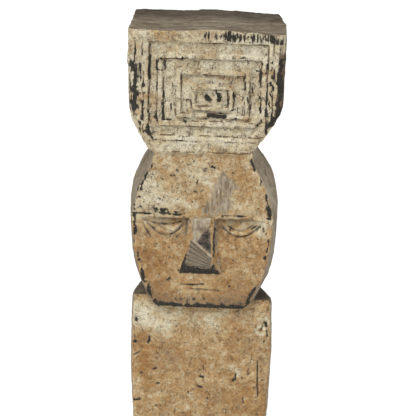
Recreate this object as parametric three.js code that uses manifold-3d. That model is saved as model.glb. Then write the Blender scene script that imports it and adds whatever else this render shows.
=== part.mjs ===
// A carved stone pillar figure: a tall block headdress cut with nested frames, a flat shield
// face, a plank body and a low base, all one stone. Millimetres, +Z up, the face looks along -Y,
// and the origin is under the middle of the base.
import * as THREE from "three";
import { ConvexGeometry } from "three/addons/geometries/ConvexGeometry.js";
import { mergeVertices } from "three/addons/utils/BufferGeometryUtils.js";
import Module from "manifold-3d";

const wasm = await Module();
wasm.setup();

// ---- driving dimensions ----
const HEIGHT = 930;
const CREST = 3;
const BASE = { width: 250, depth: 172, height: 46, bevel: 4 };
const HEADDRESS = {
  halfWidth: 113.5,
  waistHalfWidth: 111,
  height: 180,
  front: -63,
  back: 67,
  edge: 11,
  edgeDepth: 8,
  narrowing: 2,
};
// The piece lost from the headdress's right back corner.
const NICK = { across: 15, along: 70 };
// Where each side's straight edge ends, and how wide it is at the neck.
const JAW = { left: { turn: 112, foot: 80 }, right: { turn: 102, foot: 68 } };
const HEAD = {
  browDrop: 275,
  chinDrop: 418,
  topDrop: 178,
  foreheadTop: -60.5,
  forehead: -58,
  face: -62,
  back: 52,
  sideRun: 38,
  napeBevel: 14,
  narrowing: 3,
  offset: -1.5,
};
const BODY = {
  shoulder: 104,
  front: -49,
  back: 46,
  edge: 5,
  edgeDepth: 6,
  narrowing: 4,
};
// The shoulders are flat on top, and their outer back corners fall away in one slope each.
const SHOULDER = {
  left: { side: -1, drop: 405.5, turnDeg: 12 },
  right: { side: 1, drop: 408.5, turnDeg: 20 },
  fallDeg: 48,
};
const CARVING_DEPTH = 3.5;
const GROOVE = { width: 2.6, depth: 2.2 };
// A socket's deep part runs out from the nose; its floor then rises to the cheek.
const SOCKET = {
  lip: 4,
  deep: 9,
  shallow: 2.5,
  deepRun: 30,
  deepFall: 11,
  innerFall: 46,
  outerFall: 34,
  outer: 91,
};
const EYE = { halfSize: [25, 4.5, 9], sunk: 6, tiltDeg: -12 };
// The nose's root and foot, and the corners of its front: x, how far it stands out, drop.
const NOSE = {
  root: { left: -22, right: 15, drop: 282 },
  foot: { left: -35, right: 28, drop: 364, stand: 0.6 },
  corners: [
    [-17, 2, 310],
    [15, 1, 300],
    [6, 7, 322],
    [13, 11, 340],
    [25, 4, 358],
  ],
  buried: 18,
};
const MOUTH = [
  { left: -32, right: 3, drop: 382.5 },
  { left: -18, right: 25, drop: 389.5 },
];
const STONE = { color: 0xb89a6c, roughness: 0.9, metalness: 0 };
// How far a cutting shape runs past what it cuts.
const OVER = 30;

// Heights on the figure are measured down from the line of its top, which its crest passes.
const at = (drop) => HEIGHT - CREST - drop;

// ---- solids: made from three.js geometry, joined and cut by manifold ----
function solid(geometry) {
  const bare = geometry.clone();
  bare.deleteAttribute("normal");
  bare.deleteAttribute("uv");
  const merged = mergeVertices(bare, 1e-4);
  const triVerts = new Uint32Array(merged.index.array);
  const vertProperties = new Float32Array(merged.attributes.position.array);
  return new wasm.Manifold(new wasm.Mesh({ numProp: 3, vertProperties, triVerts }));
}

// An outline in x and z, extruded from y = back to y = front, with both rims bevelled inwards.
function slab(outline, front, back, edge = 0, edgeDepth = 0) {
  const geometry = new THREE.ExtrudeGeometry(outline, {
    depth: back - front - 2 * edgeDepth,
    curveSegments: 10,
    bevelEnabled: edge > 0,
    bevelSegments: 1,
    bevelSize: edge,
    bevelOffset: -edge,
    bevelThickness: edgeDepth,
  });
  geometry.rotateX(Math.PI / 2);
  geometry.translate(0, back - edgeDepth, 0);
  return geometry;
}

// Draws the two sides in towards the back, by up to the given amount at the back face.
function narrowed(geometry, front, back, amount, halfWidth) {
  const position = geometry.attributes.position;
  for (let i = 0; i < position.count; i += 1) {
    const depth = (position.getY(i) - front) / (back - front);
    position.setX(i, position.getX(i) * (1 - (amount / halfWidth) * depth));
  }
  return geometry;
}

function block(xRange, yRange, zRange) {
  const size = [xRange, yRange, zRange].map(([low, high]) => high - low);
  const middle = [xRange, yRange, zRange].map(([low, high]) => (low + high) / 2);
  const geometry = new THREE.BoxGeometry(...size);
  geometry.translate(...middle);
  return solid(geometry);
}

function hull(points) {
  const corners = points.map(([x, y, z]) => new THREE.Vector3(x, y, z));
  return solid(new ConvexGeometry(corners));
}

// Level rings of the same number of points, listed from the bottom up, each running
// anticlockwise seen from above.
function loft(rings) {
  const count = rings[0].length;
  const positions = rings.flat(2);
  const index = [];
  for (let level = 0; level < rings.length - 1; level += 1) {
    for (let i = 0; i < count; i += 1) {
      const a = level * count + i;
      const b = level * count + ((i + 1) % count);
      index.push(a, b, b + count, a, b + count, a + count);
    }
  }
  const top = (rings.length - 1) * count;
  for (let i = 1; i < count - 1; i += 1) {
    index.push(0, i + 1, i);
    index.push(top, top + i, top + i + 1);
  }
  const geometry = new THREE.BufferGeometry();
  geometry.setAttribute("position", new THREE.Float32BufferAttribute(positions, 3));
  geometry.setIndex(index);
  return solid(geometry);
}

// The value of a smooth curve through [drop, value] knots at one drop.
function along(knots, drop) {
  const last = knots.length - 1;
  let i = 0;
  while (i < last - 1 && drop > knots[i + 1][0]) i += 1;
  const part = (drop - knots[i][0]) / (knots[i + 1][0] - knots[i][0]);
  const values = [-1, 0, 1, 2].map((k) => knots[Math.min(Math.max(i + k, 0), last)][1]);
  const curve = new THREE.SplineCurve(values.map((value, k) => new THREE.Vector2(k, value)));
  return curve.getPoint((1 + part) / 3).y;
}

// ---- headdress ----
// One side of the outline, from the foot up: a curve out of the neck notch, then straight.
function jawCurve(outline, side, { turn, foot }, upwards) {
  const { halfWidth, waistHalfWidth, height } = HEADDRESS;
  const lean = 3;
  const flare = 13;
  const knots = [
    [side * foot, at(height)],
    [side * (foot + flare), at(height - 22)],
    [side * (waistHalfWidth - lean), at(turn + (height - turn) * 0.42)],
    [side * waistHalfWidth, at(turn)],
  ];
  const [start, first, second, end] = upwards ? knots : knots.reverse();
  outline.lineTo(...start);
  outline.bezierCurveTo(...first, ...second, ...end);
  if (upwards) outline.lineTo(side * halfWidth, HEIGHT + OVER);
}

// A flat-topped block whose sides run straight down, then curve in to the neck notch.
function headdressBlock() {
  const { halfWidth, height, front, back, edge, edgeDepth, narrowing } = HEADDRESS;
  const outline = new THREE.Shape();
  outline.moveTo(-halfWidth, HEIGHT + OVER);
  jawCurve(outline, -1, JAW.left, false);
  outline.lineTo(-JAW.left.foot, at(height) - OVER);
  outline.lineTo(JAW.right.foot, at(height) - OVER);
  jawCurve(outline, 1, JAW.right, true);
  outline.closePath();
  const block = slab(outline, front, back, edge, edgeDepth);
  return solid(narrowed(block, front, back, narrowing, halfWidth));
}

// Everything above the worn, slightly wavy top.
function aboveTheTop() {
  const reach = HEADDRESS.halfWidth + OVER;
  const crest = [
    [-reach, 1],
    [-48, 0],
    [5, CREST],
    [62, 0.5],
    [reach, -4],
  ];
  const outline = new THREE.Shape();
  outline.moveTo(-reach, HEIGHT + 2 * OVER);
  outline.lineTo(-reach, at(0) + crest[0][1]);
  outline.splineThru(crest.slice(1).map(([x, rise]) => new THREE.Vector2(x, at(0) + rise)));
  outline.lineTo(reach, HEIGHT + 2 * OVER);
  outline.closePath();
  return solid(slab(outline, HEADDRESS.front - OVER, HEADDRESS.back + OVER));
}

// The four nested raised frames on the headdress's front, from the outside in, as the
// middle lines of their ridges. The outer one's lower corners are cut off, across and up.
const FRAMES = [
  { left: -85, right: 91, top: 14, bottom: 158, ridge: 6, cutLeft: [9, 22], cutRight: [23, 34] },
  { left: -65, right: 82, top: 37, bottom: 136, ridge: 7, cutLeft: [3, 3], cutRight: [16, 20] },
  { left: -39, right: 59, top: 60, bottom: 124, ridge: 6, cutLeft: [3, 3], cutRight: [3, 3] },
  { left: -17, right: 36, top: 82, bottom: 113, ridge: 5, cutLeft: [3, 3], cutRight: [3, 3] },
];

function frameOutline(Kind, frame, grow) {
  const [left, right] = [frame.left - grow, frame.right + grow];
  const [low, high] = [at(frame.bottom + grow), at(frame.top - grow)];
  const corners = [
    [left, low + frame.cutLeft[1]],
    [left + frame.cutLeft[0], low],
    [right - frame.cutRight[0], low],
    [right, low + frame.cutRight[1]],
    [right, high],
    [left, high],
  ];
  const path = new Kind();
  path.setFromPoints(corners.map(([x, z]) => new THREE.Vector2(x, z)));
  path.closePath();
  return path;
}

// One sunken band: inside a frame's ridge, and outside the next one's.
function sunkenBand(frame, next) {
  const outline = frameOutline(THREE.Shape, frame, -frame.ridge / 2);
  if (next) outline.holes.push(frameOutline(THREE.Path, next, next.ridge / 2));
  return solid(slab(outline, HEADDRESS.front - OVER, HEADDRESS.front + CARVING_DEPTH));
}

// The narrow cut that parts the outer frame from the plain border.
function borderCut() {
  const outline = frameOutline(THREE.Shape, FRAMES[0], FRAMES[0].ridge / 2 + GROOVE.width);
  outline.holes.push(frameOutline(THREE.Path, FRAMES[0], FRAMES[0].ridge / 2));
  return solid(slab(outline, HEADDRESS.front - OVER, HEADDRESS.front + GROOVE.depth));
}

// A wedge that takes off the right back corner, all the way down.
function lostCorner() {
  const { halfWidth, height, back } = HEADDRESS;
  return hull(
    [HEIGHT + OVER, at(height + 5)].flatMap((z) => [
      [halfWidth - NICK.across, back + 5, z],
      [halfWidth + OVER, back + 5, z],
      [halfWidth + OVER, back - NICK.along, z],
      [halfWidth + 1, back - NICK.along, z],
    ]),
  );
}

function headdress() {
  const reach = 2 * HEADDRESS.halfWidth;
  const belowTheFoot = block([-reach, reach], [-reach, reach], [0, at(HEADDRESS.height)]);
  let carved = headdressBlock().subtract(aboveTheTop()).subtract(belowTheFoot);
  carved = carved.subtract(borderCut()).subtract(lostCorner());
  FRAMES.forEach((frame, i) => {
    carved = carved.subtract(sunkenBand(frame, FRAMES[i + 1]));
  });
  return carved;
}

// ---- head ----
// Half widths of the flat front, and of the two sides behind it, down the head.
const FRONT_HALF_WIDTH = [
  [178, 71],
  [200, 75],
  [213, 84],
  [232, 91],
  [254, 98],
  [275, 103],
  [318, 100],
  [345, 95.5],
  [366, 90],
  [388, 81],
  [405, 74],
  [413, 69],
  [418, 62],
];
const LEFT_HALF_WIDTH = [
  [178, 76],
  [196, 85],
  [214, 96],
  [232, 103.5],
  [256, 107],
  [290, 107.5],
  [330, 106],
  [352, 102.5],
  [370, 98.5],
  [392, 91],
  [418, 77],
];
const RIGHT_HALF_WIDTH = [
  [178, 68],
  [196, 79],
  [214, 92],
  [232, 102.5],
  [256, 108],
  [290, 109],
  [330, 107.5],
  [352, 104.5],
  [370, 100],
  [392, 91],
  [418, 77],
];

function headRing(drop, front) {
  const halfRing = (sideWidths) => {
    const face = along(FRONT_HALF_WIDTH, drop);
    const side = Math.max(along(sideWidths, drop), face + 1);
    const nape = side - HEAD.narrowing;
    return [
      [face, front],
      [side, front + HEAD.sideRun],
      [nape, HEAD.back - HEAD.napeBevel],
      [nape - HEAD.napeBevel, HEAD.back],
    ];
  };
  const right = halfRing(RIGHT_HALF_WIDTH);
  const left = halfRing(LEFT_HALF_WIDTH).map(([x, y]) => [-x, y]);
  return [...right, ...left.reverse()].map(([x, y]) => [x + HEAD.offset, y, at(drop)]);
}

// The forehead and the face below the brow are two flats; the face stands a ledge prouder.
function headBlock() {
  const levels = [];
  const step = 6;
  for (let drop = HEAD.chinDrop; drop > HEAD.browDrop; drop -= step) {
    levels.push(headRing(drop, HEAD.face));
  }
  levels.push(headRing(HEAD.browDrop, HEAD.face));
  levels.push(headRing(HEAD.browDrop - 0.2, HEAD.forehead));
  const forehead = HEAD.browDrop - HEAD.topDrop;
  for (let rise = step; rise < forehead; rise += step) {
    const front = THREE.MathUtils.lerp(HEAD.forehead, HEAD.foreheadTop, rise / forehead);
    levels.push(headRing(HEAD.browDrop - rise, front));
  }
  levels.push(headRing(HEAD.topDrop, HEAD.foreheadTop));
  return loft(levels);
}

// A socket is deepest under the brow and beside the nose, and runs out on the cheek.
function eyeSocket(side, inner) {
  const { lip, deep, shallow, deepRun, deepFall, innerFall, outerFall, outer } = SOCKET;
  const brow = at(HEAD.browDrop + lip);
  const flat = HEAD.face;
  const corners = [
    [inner, flat + deep, brow],
    [inner + deepRun, flat + deep, brow],
    [outer, flat + shallow, brow],
    [inner, flat + deep, brow - deepFall],
    [inner + deepRun, flat + deep - 1, brow - deepFall],
    [inner, flat, brow - innerFall],
    [outer - deepRun / 2, flat, brow - outerFall],
    [inner, flat - OVER, brow],
    [outer, flat - OVER, brow],
    [inner, flat - OVER, brow - innerFall],
    [outer - deepRun / 2, flat - OVER, brow - outerFall],
  ];
  return hull(corners.map(([x, y, z]) => [side * x, y, z]));
}

// The closed, almond-shaped eye that lies in a socket.
function eye(x, drop) {
  const lens = new THREE.SphereGeometry(1, 20, 12);
  lens.scale(...EYE.halfSize);
  lens.rotateX(THREE.MathUtils.degToRad(EYE.tiltDeg));
  lens.translate(x, HEAD.face + EYE.sunk, at(drop));
  return solid(lens);
}

// The brow ledge is cut away where the forehead runs down into the nose.
function bridgeCut() {
  const { left, right } = NOSE.root;
  const heights = [at(HEAD.browDrop + SOCKET.lip), at(HEAD.browDrop - 5)];
  return block([left + 1, right], [HEAD.face - OVER, HEAD.forehead], heights);
}

// A straight wedge nose that runs down from the forehead, its tip sheared off to one side.
function nose() {
  const { root, foot, corners, buried } = NOSE;
  const inside = HEAD.face + buried;
  return hull([
    ...corners.map(([x, stand, drop]) => [x, HEAD.face - stand, at(drop)]),
    ...[root.left, root.right].map((x) => [x, HEAD.forehead + 0.5, at(root.drop)]),
    ...[root.left, root.right].map((x) => [x, inside, at(root.drop)]),
    ...[foot.left, foot.right].map((x) => [x, HEAD.face - foot.stand, at(foot.drop)]),
    ...[foot.left, foot.right].map((x) => [x, inside, at(foot.drop)]),
  ]);
}

function mouthCut({ left, right, drop }) {
  const depths = [HEAD.face - OVER, HEAD.face + GROOVE.depth];
  return block([left, right], depths, [at(drop + 2), at(drop)]);
}

function head() {
  return headBlock()
    .subtract(eyeSocket(-1, 20))
    .subtract(eyeSocket(1, 17))
    .subtract(bridgeCut())
    .add(eye(-57, 301))
    .add(eye(55, 297))
    .add(nose())
    .subtract(mouthCut(MOUTH[0]))
    .subtract(mouthCut(MOUTH[1]));
}

// ---- body and base ----
const BODY_HALF_WIDTH = [
  [393, 104],
  [430, 105],
  [490, 106],
  [560, 104],
  [610, 101],
  [720, 98],
  [900, 96],
];

function shoulderCut({ side, drop, turnDeg }) {
  const reach = 120;
  const slope = new THREE.BoxGeometry(reach, 2 * reach, reach);
  slope.translate(0, 0, reach / 2);
  slope.rotateY(THREE.MathUtils.degToRad(side * SHOULDER.fallDeg));
  slope.rotateZ(THREE.MathUtils.degToRad(side * turnDeg));
  slope.translate(side * BODY.shoulder, BODY.front + BODY.edgeDepth, at(drop));
  return solid(slope);
}

// One side of the body's outline, from the shoulder down into the base.
function bodySide({ side, drop: top }) {
  const foot = HEIGHT - CREST - BASE.height / 2;
  const drops = [];
  for (let drop = top; drop < foot; drop += 24) drops.push(drop);
  drops.push(foot);
  return drops.map((drop) => new THREE.Vector2(side * along(BODY_HALF_WIDTH, drop), at(drop)));
}

function body() {
  const { left, right } = SHOULDER;
  const outline = new THREE.Shape([...bodySide(right), ...bodySide(left).reverse()]);
  const plank = slab(outline, BODY.front, BODY.back, BODY.edge, BODY.edgeDepth);
  return solid(narrowed(plank, BODY.front, BODY.back, BODY.narrowing, BODY.shoulder))
    .subtract(shoulderCut(left))
    .subtract(shoulderCut(right));
}

function base() {
  const half = BASE.width / 2;
  const outline = new THREE.Shape([
    new THREE.Vector2(-half, 0),
    new THREE.Vector2(half, 0),
    new THREE.Vector2(half, BASE.height),
    new THREE.Vector2(-half, BASE.height),
  ]);
  return solid(slab(outline, -BASE.depth / 2, BASE.depth / 2, BASE.bevel, BASE.bevel));
}

// ---- the finished figure ----
function meshOf(name, made) {
  const { vertProperties, triVerts } = made.getMesh();
  const geometry = new THREE.BufferGeometry();
  geometry.setAttribute("position", new THREE.BufferAttribute(vertProperties, 3));
  geometry.setIndex(new THREE.BufferAttribute(triVerts, 1));
  geometry.computeVertexNormals();
  const mesh = new THREE.Mesh(geometry, new THREE.MeshStandardMaterial(STONE));
  mesh.name = name;
  return mesh;
}

const statue = new THREE.Group();
statue.add(meshOf("figure", headdress().add(head()).add(body()).add(base())));

export default statue;
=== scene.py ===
"""A carved stone pillar figure, dressed for a picture.

The solid from model.glb is copied, given fine even faces, and worn, scored and chipped as
old carved stone is. Its colours are a flaking cream and ochre skin over a near-black patina,
and bare taupe stone where nothing was ever laid on.
Places are millimetres: x across the front, and the drop below the line of the top.
"""

import math

import bpy
import numpy as np
from mathutils import Matrix, Vector


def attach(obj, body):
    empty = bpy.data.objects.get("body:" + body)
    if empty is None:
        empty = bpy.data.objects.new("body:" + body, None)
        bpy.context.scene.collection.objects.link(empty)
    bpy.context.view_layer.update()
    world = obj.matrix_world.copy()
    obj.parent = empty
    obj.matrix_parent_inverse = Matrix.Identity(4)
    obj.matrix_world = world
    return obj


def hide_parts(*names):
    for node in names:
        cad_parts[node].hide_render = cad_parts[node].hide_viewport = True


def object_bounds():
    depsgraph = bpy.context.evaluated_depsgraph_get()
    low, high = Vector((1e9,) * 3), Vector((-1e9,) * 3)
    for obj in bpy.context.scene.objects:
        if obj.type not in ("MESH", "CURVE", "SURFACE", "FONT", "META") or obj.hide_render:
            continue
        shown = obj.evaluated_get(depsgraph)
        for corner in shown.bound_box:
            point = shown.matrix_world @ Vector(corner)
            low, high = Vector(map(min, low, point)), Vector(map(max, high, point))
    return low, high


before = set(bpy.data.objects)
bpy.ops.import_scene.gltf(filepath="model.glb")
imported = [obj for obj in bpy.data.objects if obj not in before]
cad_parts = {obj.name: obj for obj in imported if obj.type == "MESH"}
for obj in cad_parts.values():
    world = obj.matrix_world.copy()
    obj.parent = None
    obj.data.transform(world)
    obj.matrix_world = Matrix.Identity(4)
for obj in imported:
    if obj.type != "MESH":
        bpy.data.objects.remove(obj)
cad_low, cad_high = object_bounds()

MM = 0.001
VOXEL = 1.8
FACE_LIMIT = 190000

# ---- the figure's landmarks ----
CREST = 3.0
TOP_LINE = cad_high.z / MM - CREST
FRONT = -63.0
HEADDRESS_FOOT = 180.0
BROW = 275.0
CHIN = 418.0
BASE_TOP = 881.0
# Everything on the headdress's and the head's front stands before this; the plank lies behind.
PLANK_FRONT_LIMIT = -55.0
# What lies behind this counts as side or back.
FRONT_LIMIT = -35.0
# Behind these the flats of the head's front and of the plank's front have turned away.
HEAD_FLAT = -60.0
PLANK_FLAT = -44.0
# The dark bevel down the headdress's right side, with painted shade where it turns from the light: its
# depth limit, and the drops where it starts, is full, begins to fade and ends.
BEVEL_BACK = -50.0
BEVEL_RUN = (14.0, 45.0, 125.0, 150.0)
# The drops between which the plank grows paler towards its foot.
LOWER_PLANK = (640.0, 760.0)

# The four nested frames, as the middle lines of their ridges, with how much of the grooves
# beside each upright is black.
FRAMES = (
    {"left": -85, "right": 91, "top": 14, "bottom": 158, "ridge": 6, "black": (0.45, 0.3)},
    {"left": -65, "right": 82, "top": 37, "bottom": 136, "ridge": 7, "black": (0.4, 0.5)},
    {"left": -39, "right": 59, "top": 60, "bottom": 124, "ridge": 6, "black": (0.12, 0.45)},
    {"left": -17, "right": 36, "top": 82, "bottom": 113, "ridge": 5, "black": (0.1, 0.4)},
)
# How much of the ridges' feet is black, and how much has a brown painted shadow line beside them.
LEVEL_BLACK = 0.06
LEVEL_SHADOW_LINES = 0.5
UPRIGHT_SHADOW_LINES = 0.45

SHOULDER = 104
# Where the sockets run from and to, outwards from the nose.
SOCKETS = {"left": (-22, -91), "right": (15, 91)}
# The nose's left and right corners at its root, along the shear across its front, and its foot.
NOSE = (((-22, 276), (15, 276)), ((-17, 310), (15, 335)), ((-35, 364), (28, 364)))


def part_way(start, end, share):
    """The place a share of the way from one corner to another."""
    return tuple(a + (b - a) * share for a, b in zip(start, end))


def on_nose(across, down):
    """A place on the nose: down is 0 at the root, 1 along the shear and 2 at the foot."""
    row = min(int(down), 1)
    left = part_way(NOSE[row][0], NOSE[row + 1][0], down - row)
    right = part_way(NOSE[row][1], NOSE[row + 1][1], down - row)
    return part_way(left, right, across)


def in_socket(side, out, down):
    """A place in a socket: a share of the way out from the nose, and down from the brow."""
    inner, outer = SOCKETS[side]
    return (inner + (outer - inner) * out, BROW + down)


def on_forehead(x, share):
    """A place a share of the way down from the headdress to the brow."""
    return (x, HEADDRESS_FOOT + share * (BROW - HEADDRESS_FOOT))


def in_frame(ring, across, down):
    """A place in a frame, as shares of its width and its height."""
    wide = ring["right"] - ring["left"]
    high = ring["bottom"] - ring["top"]
    return (ring["left"] + across * wide, ring["top"] + down * high)


# The flat faces of the nose.
UPPER_NOSE = (on_nose(0.08, 0), on_nose(0.92, 0), on_nose(0.95, 1), on_nose(0.04, 1))
# The nose's right face: black patina, and painted shade where it turns from the light.
DARK_FACE = (on_nose(0.88, 0.2), on_nose(0.97, 0.95), on_nose(0.25, 0.93))
SHEARED_FACE = (on_nose(0, 1), on_nose(1, 1), on_nose(0.75, 1.76), on_nose(0.08, 1.76))
UNDERSIDE = (on_nose(0.06, 1.72), on_nose(0.92, 1.76), on_nose(1, 2), on_nose(0, 2))
LEFT_WEDGE = (on_nose(0, 1.22), on_nose(0.1, 1.76), on_nose(0, 2))
RIGHT_WEDGE = (on_nose(0.95, 1.3), on_nose(1, 2), on_nose(0.66, 1.84))
# The patch above the nose that is rubbed down to the stone: its peak, and the band below it.
RUBBED_PEAK = (
    on_forehead(26, 0.22),
    on_forehead(56, 0.54),
    on_forehead(32, 0.72),
    on_forehead(8, 0.52),
)
RUBBED_BAND = (
    on_forehead(14, 0.5),
    on_forehead(44, 0.5),
    on_forehead(42, 0.93),
    on_nose(1.2, 0),
    on_nose(0.35, 0),
)


# ---- soft noise and fields over points in millimetres ----
def hashed(cells, seed):
    """A steady value from 0 to 1 for each whole-numbered cell."""
    x, y, z = (cells[:, axis].astype(np.int64) for axis in range(3))
    mixed = (x * 73856093) ^ (y * 19349663) ^ (z * 83492791) ^ (seed * 49979687)
    mixed = (mixed ^ (mixed >> 13)) * 1274126177
    mixed = mixed & 0x7FFFFFFF
    mixed = (mixed ^ (mixed >> 15)) & 0xFFFF
    return mixed / 65535.0


def lumps(points, seed):
    """Smooth noise from -1 to 1 whose lumps are one unit apart."""
    cells = np.floor(points)
    part = points - cells
    part = part * part * (3.0 - 2.0 * part)
    total = np.zeros(len(points))
    for corner in np.ndindex(2, 2, 2):
        weight = np.prod(np.where(corner, part, 1.0 - part), axis=1)
        total += weight * hashed(cells + np.array(corner), seed)
    return total * 2.0 - 1.0


def noise(points, size, seed=0, octaves=3):
    """Layered noise from about -1 to 1; size is one length, or one for each axis."""
    scaled = points / np.array(size, float)
    total = np.zeros(len(points))
    strength = 1.0
    weight = 0.0
    for octave in range(octaves):
        total += strength * lumps(scaled * 2.0**octave, seed + 17 * octave)
        weight += strength
        strength *= 0.5
    return total / weight * 1.6


def ramp(values, low, high):
    """0 at low and below, 1 at high and above, smooth between them."""
    part = np.clip((values - low) / (high - low), 0.0, 1.0)
    return part * part * (3.0 - 2.0 * part)


def fall(values, low, high):
    """1 at low and below, 0 at high and above, smooth between them."""
    return ramp(-values, -high, -low)


def distance_to(path, x, drop):
    """How far each place is from a line of (x, drop) corners."""
    nearest = np.full(len(x), 1e9)
    for (ax, ad), (bx, bd) in zip(path, path[1:]):
        length = (bx - ax) ** 2 + (bd - ad) ** 2
        part = ((x - ax) * (bx - ax) + (drop - ad) * (bd - ad)) / max(length, 1e-9)
        part = np.clip(part, 0.0, 1.0)
        gap = np.hypot(x - ax - part * (bx - ax), drop - ad - part * (bd - ad))
        nearest = np.minimum(nearest, gap)
    return nearest


def bowed(start, end, sag):
    """Corners along a line from start to end that hangs by the sag at its middle."""
    part = np.linspace(0.0, 1.0, 9)
    across = start[0] + (end[0] - start[0]) * part
    down = start[1] + (end[1] - start[1]) * part + 4.0 * sag * part * (1.0 - part)
    return tuple(zip(across, down))


def strokes(places, marks, wander=0.0):
    """The strongest of many soft strokes, each a strength, a half width and its corners."""
    x = places.x + wander * noise(places.points, 11.0, 71)
    drop = places.drop + wander * noise(places.points, 11.0, 72)
    total = np.zeros(len(x))
    for strength, width, *path in marks:
        path = path if len(path) > 1 else path * 2
        low = np.min(path, axis=0) - 3.0 * width
        high = np.max(path, axis=0) + 3.0 * width
        near = (x > low[0]) & (x < high[0]) & (drop > low[1]) & (drop < high[1])
        near &= places.front
        gap = distance_to(path, x[near], drop[near])
        total[near] = np.maximum(total[near], strength * np.exp(-((gap / width) ** 2)))
    return total


def facet(places, corners, soft=1.5):
    """1 inside a many-sided face without hollows in its outline, given by its corners."""
    middle = np.mean(corners, axis=0)
    inside = np.full(len(places.x), 1e9)
    for (ax, ad), (bx, bd) in zip(corners, corners[1:] + corners[:1]):
        length = math.hypot(bx - ax, bd - ad)
        off = ((places.x - ax) * (bd - ad) - (places.drop - ad) * (bx - ax)) / length
        way = (middle[0] - ax) * (bd - ad) - (middle[1] - ad) * (bx - ax)
        inside = np.minimum(inside, off * np.sign(way))
    return ramp(inside, -soft, soft) * places.front


def broken(places, gap, width, share, seed, piece=9.0):
    """A band where the gap is small, left in pieces that make up about a share of it."""
    total = np.zeros(len(gap))
    near = places.front & (gap < 2.5 * width)
    if not near.any():
        return total
    points = places.points[near]
    pieces = noise(points, piece, seed, 2)
    limit = np.quantile(pieces, 1.0 - share)
    ragged = gap[near] * (1.0 + 0.5 * noise(points, 5.0, seed + 1, 2))
    total[near] = ramp(pieces, limit - 0.1, limit + 0.1) * np.exp(-((ragged / width) ** 2))
    return total


def broken_line(places, path, width, share, seed, piece):
    """A broken band along a line of corners."""
    gap = distance_to(path, places.x, places.drop)
    return broken(places, gap, width, share, seed, piece)


# ---- the mesh's vertices ----
class Places:
    """Where a mesh's vertices are: millimetres, drops, normals, and gaps to the rims."""

    def __init__(self, mesh):
        count = len(mesh.vertices)
        flat = np.zeros(count * 3)
        mesh.vertices.foreach_get("co", flat)
        self.points = flat.reshape(-1, 3) / MM
        normals = np.zeros(count * 3)
        mesh.vertex_normals.foreach_get("vector", normals)
        self.normals = normals.reshape(-1, 3)
        pairs = np.zeros(len(mesh.edges) * 2, np.int32)
        mesh.edges.foreach_get("vertices", pairs)
        self.pairs = pairs.reshape(-1, 2)
        self.measure()

    def measure(self):
        self.x = self.points[:, 0]
        self.y = self.points[:, 1]
        self.drop = TOP_LINE - self.points[:, 2]
        self.front = (self.y < FRONT_LIMIT) & (self.normals[:, 1] < -0.2)
        self.plank = self.y > PLANK_FRONT_LIMIT
        self.left_gap, self.right_gap = self.rim_gaps()

    def rim_gaps(self, row=5.0):
        """How far inside the flat front's left and right rims each vertex lies."""
        flat = (self.normals[:, 1] < -0.85) & self.front
        left = np.zeros(len(self.x))
        right = np.zeros(len(self.x))
        for layer in (self.plank, ~self.plank):
            rows = (self.drop[flat & layer] / row).astype(int)
            rows = np.maximum(rows, 0)
            low = np.full(rows.max() + 1, np.inf)
            high = np.full(rows.max() + 1, -np.inf)
            np.minimum.at(low, rows, self.x[flat & layer])
            np.maximum.at(high, rows, self.x[flat & layer])
            known = np.isfinite(low)
            middles = (np.arange(len(low))[known] + 0.5) * row
            left[layer] = self.x[layer] - np.interp(self.drop[layer], middles, low[known])
            right[layer] = np.interp(self.drop[layer], middles, high[known]) - self.x[layer]
        return left, right

    def smoothed(self, values, rounds):
        """Each vertex's values drawn to the mean of its neighbours', over and over."""
        a, b = self.pairs[:, 0], self.pairs[:, 1]
        count = len(self.points)
        degree = np.maximum(np.bincount(self.pairs.ravel(), minlength=count), 1)
        columns = values.reshape(count, -1).copy()
        for _ in range(rounds):
            for k in range(columns.shape[1]):
                column = columns[:, k]
                total = np.bincount(a, column[b], count) + np.bincount(b, column[a], count)
                columns[:, k] = 0.5 * column + 0.5 * total / degree
        return columns.reshape(values.shape)

    def hollows(self, rounds):
        """How far each vertex lies below its smoothed surroundings, in millimetres."""
        return np.sum((self.smoothed(self.points, rounds) - self.points) * self.normals, axis=1)


# How wide, deep and high the pieces of a broken band are.
UPRIGHT_PIECES = (3.5, 9.0, 16.0)
RIM_PIECES = (3.6, 9.0, 22.0)
LEVEL_PIECES = (18.0, 9.0, 4.0)
BROW_PIECES = (2.6, 9.0, 10.0)


# ---- small carved lines ----
# Depth, half width, then the corners; a depth below nothing is a raised line.
EYE_LINES = (
    # left: the sagging lid, the lower rim, a raised and a short line inside it, and a side fold
    (2.4, 1.8, *bowed(in_socket("left", 0.9, 9), in_socket("left", 0.14, 12), 6)),
    (2.2, 1.9, *bowed(in_socket("left", 0.86, 13), in_socket("left", 0.1, 16), 17)),
    (-2.2, 2.2, *bowed(in_socket("left", 0.76, 14), in_socket("left", 0.14, 12), 13)),
    (1.3, 1.6, *bowed(in_socket("left", 0.72, 12), in_socket("left", 0.34, 24), 3)),
    (1.6, 2.0, *bowed(in_socket("left", 0.94, 14), in_socket("left", 0.78, 34), 2)),
    # right: the lower rim, and a raised and a short line inside it
    (2.4, 1.7, *bowed(in_socket("right", 0.16, 18), in_socket("right", 0.9, 13), 15)),
    (-2.0, 1.9, *bowed(in_socket("right", 0.18, 13), in_socket("right", 0.86, 10), 14)),
    (1.4, 1.5, *bowed(in_socket("right", 0.28, 16), in_socket("right", 0.75, 13), 6)),
)
MOUTH_LINES = (
    (1.8, 1.6, (-32, CHIN - 36), (3, CHIN - 37)),
    (0.9, 1.8, (-18, CHIN - 30), (25, CHIN - 29)),
)
NOSE_LINES = (
    (1.6, 2.0, on_nose(1.1, 0.35), on_nose(1.05, 1.9)),
    (1.2, 1.6, on_nose(0.04, 0.1), on_nose(0.02, 1)),
    (-1.0, 1.6, on_nose(0, 1), on_nose(1, 1)),
    (-1.4, 1.5, on_nose(0.97, 0.2), on_nose(1, 0.95)),
)
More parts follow.
